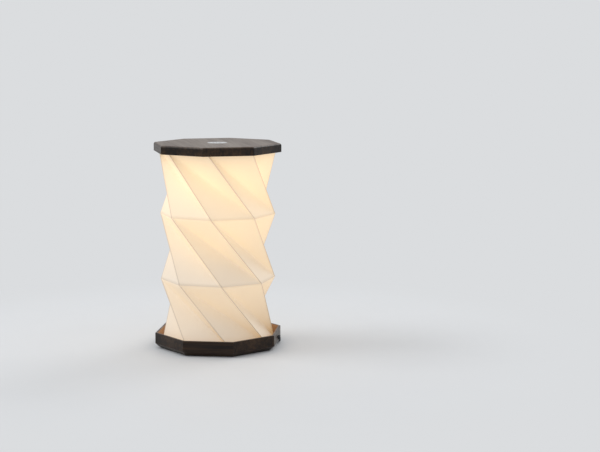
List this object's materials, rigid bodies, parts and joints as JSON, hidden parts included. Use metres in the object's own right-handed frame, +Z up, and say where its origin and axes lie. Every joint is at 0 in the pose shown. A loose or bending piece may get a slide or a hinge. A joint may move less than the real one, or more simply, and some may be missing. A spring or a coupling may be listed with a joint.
{
  "type": "accordion lamp",
  "caption": "Rechargeable table lantern: a twisted folding paper shade between an octagonal wooden tray and cap, with a flush button and a hand strap. It folds flat.",
  "frame": {"origin": "on the floor, under the middle of the tray", "axes": "+Z up through the middle of the shade; -Y is the front; the tray's flats face X and Y"},
  "size_m": [0.135, 0.169, 0.2131],
  "materials": {
    "walnut": "dark walnut, fine straight grain, dull oil finish",
    "foot_rubber": "matt black rubber sheet",
    "white_plastic": "moulded, matt white",
    "screw_steel": "zinc plated",
    "shade_paper": "white fibre paper, softly mottled, glowing warm from the light inside",
    "thin_cord": "black waxed thread",
    "sleeve_rubber": "matt black moulded sleeve",
    "loop_cord": "soft dark grey round cord, tightly braided",
    "opal_lens": "opal diffuser, satin",
    "circuit_board": "white solder mask",
    "led_emitter": "yellow phosphor",
    "black_chips": "moulded component bodies",
    "battery_foil": "laminated silver foil pouch",
    "lead_insulation": "silicone insulation",
    "socket_steel": "stamped steel shell",
    "button_gloss": "polished black, grey power symbol"
  },
  "bodies": {
    "base": {"base_tray": "walnut", "foot_pad": "foot_rubber", "base_clamp_ring": "white_plastic", "base_clamp_screws": "screw_steel", "shade_bottom_tabs": "shade_paper", "shade_lower_standing": "shade_paper", "strap_bight": "thin_cord", "strap_knot": "thin_cord", "strap_cord": "thin_cord", "strap_sleeve": "sleeve_rubber", "strap_loop": "loop_cord"},
    "lower_fold": {"shade_lower_hanging": "shade_paper"},
    "lower_ring": {"shade_middle_standing": "shade_paper"},
    "middle_fold": {"shade_middle_hanging": "shade_paper"},
    "middle_ring": {"shade_upper_standing": "shade_paper"},
    "upper_fold": {"shade_upper_hanging": "shade_paper"},
    "cap": {"cap_plate": "walnut", "cap_cover": "white_plastic", "cap_cover_screws": "screw_steel", "shade_top_tabs": "shade_paper", "lens": "opal_lens", "circuit_board": "circuit_board", "board_screws": "screw_steel", "led_chips": "led_emitter", "board_components": "black_chips", "tact_switch": "black_chips", "battery_cells": "battery_foil", "battery_leads": "lead_insulation", "usb_socket": "socket_steel"},
    "button": {"button_cap": "button_gloss", "switch_plunger": "black_chips"}
  },
  "joints": [
    {"name": "shade_fold", "type": "slide", "parent": "base", "child": "lower_fold", "axis": [0, 0, 1], "range_m": [-0.06123, 0], "deforming": ["shade_lower_standing", "shade_lower_hanging"]},
    {"name": "lower_ring_turn", "type": "hinge", "parent": "lower_fold", "child": "lower_ring", "pos_m": [0, 0, 0.07134], "axis": [0, 0, 1], "range_deg": [-35.7, 0]},
    {"name": "middle_tier_fold", "type": "slide", "parent": "lower_ring", "child": "middle_fold", "axis": [0, 0, 1], "range_m": [-0.06344, 0], "deforming": ["shade_middle_standing", "shade_middle_hanging"]},
    {"name": "middle_ring_turn", "type": "hinge", "parent": "middle_fold", "child": "middle_ring", "pos_m": [0, 0, 0.13935], "axis": [0, 0, 1], "range_deg": [-35.3, 0]},
    {"name": "upper_tier_fold", "type": "slide", "parent": "middle_ring", "child": "upper_fold", "axis": [0, 0, 1], "range_m": [-0.06284, 0], "deforming": ["shade_upper_standing", "shade_upper_hanging"]},
    {"name": "cap_turn", "type": "hinge", "parent": "upper_fold", "child": "cap", "pos_m": [0, 0, 0.20675], "axis": [0, 0, 1], "range_deg": [-39.3, 0]},
    {"name": "button_press", "type": "slide", "parent": "cap", "child": "button", "axis": [0, 0, 1], "range_m": [-0.0005, 0], "stiffness_N_per_m": 2000}
  ],
  "couplings": [
    {"joint": "lower_ring_turn", "follows": "shade_fold", "rad_per_m": 10.177},
    {"joint": "middle_tier_fold", "follows": "shade_fold", "ratio": 1.0361},
    {"joint": "middle_ring_turn", "follows": "shade_fold", "rad_per_m": 10.063},
    {"joint": "upper_tier_fold", "follows": "shade_fold", "ratio": 1.0263},
    {"joint": "cap_turn", "follows": "shade_fold", "rad_per_m": 11.203}
  ]
}
